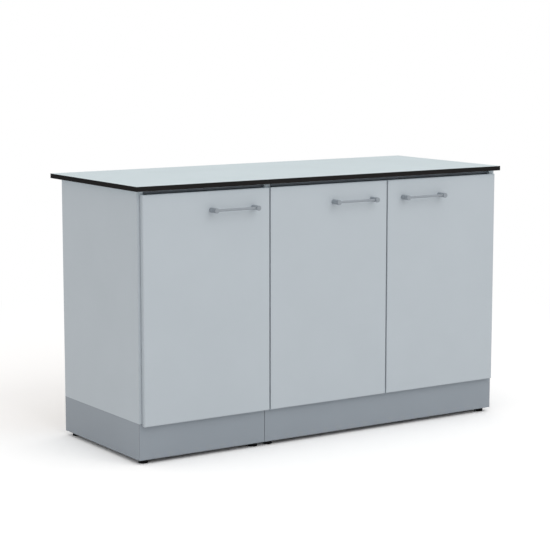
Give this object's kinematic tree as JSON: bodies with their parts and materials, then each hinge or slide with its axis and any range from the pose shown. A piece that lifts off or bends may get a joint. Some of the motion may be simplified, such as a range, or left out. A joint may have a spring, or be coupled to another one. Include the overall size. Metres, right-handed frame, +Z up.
{
  "type": "laboratory base cabinet bench",
  "caption": "Wall bench for a laboratory: compact-laminate worktop on a single and a double cabinet with hinged doors, shelves, plinths and levelling feet.",
  "frame": {"origin": "on the floor, in the middle of the rectangle that the bench and its door handles cover", "axes": "+X along the bench to the right as seen from the front, +Y from the doors to the wall, +Z up"},
  "size_m": [1.48, 0.619, 0.9],
  "materials": {
    "worktop_laminate": "fine matt compact laminate, pale grey-green faces over a black core",
    "grey_board": "laminated board, light grey matt melamine with matching edge band",
    "slate_board": "laminated board, slate grey matt melamine",
    "back_board": "painted hardboard, pale grey",
    "block_wood": "planed beech",
    "foot_plastic": "black moulded polyamide",
    "bumper_plastic": "soft clear-grey elastomer",
    "zinc_steel": "bright zinc plate",
    "handle_metal": "satin grey lacquered metal",
    "hinge_steel": "nickel-plated pressed steel"
  },
  "bodies": {
    "carcass": {"carcass_dowels": "block_wood", "foot_inserts": "zinc_steel", "foot_screws": "zinc_steel", "left_back_panel": "back_board", "left_bottom_panel": "grey_board", "left_feet": "foot_plastic", "left_front_rail": "slate_board", "left_hinge_arms": "hinge_steel", "left_hinge_plates": "hinge_steel", "left_plinth_back": "slate_board", "left_plinth_front": "slate_board", "left_plinth_left": "slate_board", "left_plinth_right": "slate_board", "left_rear_rail": "slate_board", "left_shelf": "grey_board", "left_side_panel": "grey_board", "middle_hinge_arms": "hinge_steel", "middle_hinge_plates": "hinge_steel", "middle_side_panel": "grey_board", "plinth_corner_blocks": "block_wood", "plinth_screws": "zinc_steel", "right_back_panel": "back_board", "right_bottom_panel": "grey_board", "right_feet": "foot_plastic", "right_front_rail": "slate_board", "right_hinge_arms": "hinge_steel", "right_hinge_plates": "hinge_steel", "right_plinth_back": "slate_board", "right_plinth_front": "slate_board", "right_plinth_left": "slate_board", "right_plinth_right": "slate_board", "right_rear_rail": "slate_board", "right_shelf": "grey_board", "right_side_panel": "grey_board", "shelf_pins": "zinc_steel", "worktop": "worktop_laminate", "worktop_screws": "zinc_steel"},
    "left_hinge_link": {"left_hinge_links": "hinge_steel"},
    "left_door": {"left_door": "grey_board", "left_handle_posts": "handle_metal", "left_handle_rod": "handle_metal", "left_handle_screws": "zinc_steel", "left_door_bumpers": "bumper_plastic", "left_hinge_cups": "hinge_steel"},
    "middle_hinge_link": {"middle_hinge_links": "hinge_steel"},
    "middle_door": {"middle_door": "grey_board", "middle_handle_posts": "handle_metal", "middle_handle_rod": "handle_metal", "middle_handle_screws": "zinc_steel", "middle_door_bumpers": "bumper_plastic", "middle_hinge_cups": "hinge_steel"},
    "right_hinge_link": {"right_hinge_links": "hinge_steel"},
    "right_door": {"right_door": "grey_board", "right_handle_posts": "handle_metal", "right_handle_rod": "handle_metal", "right_handle_screws": "zinc_steel", "right_door_bumpers": "bumper_plastic", "right_hinge_cups": "hinge_steel"}
  },
  "joints": [
    {"name": "left_link_turn", "type": "hinge", "parent": "carcass", "child": "left_hinge_link", "pos_m": [-0.6748, -0.2605, 0.499], "axis": [0, 0, 1], "range_deg": [0, 47.5]},
    {"name": "left_door_swing", "type": "hinge", "parent": "left_hinge_link", "child": "left_door", "pos_m": [-0.6955, -0.2605, 0.499], "axis": [0, 0, -1], "range_deg": [0, 142.5]},
    {"name": "middle_link_turn", "type": "hinge", "parent": "carcass", "child": "middle_hinge_link", "pos_m": [-0.19313, -0.2605, 0.499], "axis": [0, 0, 1], "range_deg": [0, 47.5]},
    {"name": "middle_door_swing", "type": "hinge", "parent": "middle_hinge_link", "child": "middle_door", "pos_m": [-0.21383, -0.2605, 0.499], "axis": [0, 0, -1], "range_deg": [0, 142.5]},
    {"name": "right_link_turn", "type": "hinge", "parent": "carcass", "child": "right_hinge_link", "pos_m": [0.6948, -0.2605, 0.499], "axis": [0, 0, -1], "range_deg": [0, 47.5]},
    {"name": "right_door_swing", "type": "hinge", "parent": "right_hinge_link", "child": "right_door", "pos_m": [0.7155, -0.2605, 0.499], "axis": [0, 0, 1], "range_deg": [0, 142.5]}
  ],
  "couplings": [
    {"joint": "left_link_turn", "follows": "left_door_swing", "ratio": 0.33333},
    {"joint": "middle_link_turn", "follows": "middle_door_swing", "ratio": 0.33333},
    {"joint": "right_link_turn", "follows": "right_door_swing", "ratio": 0.33333}
  ]
}
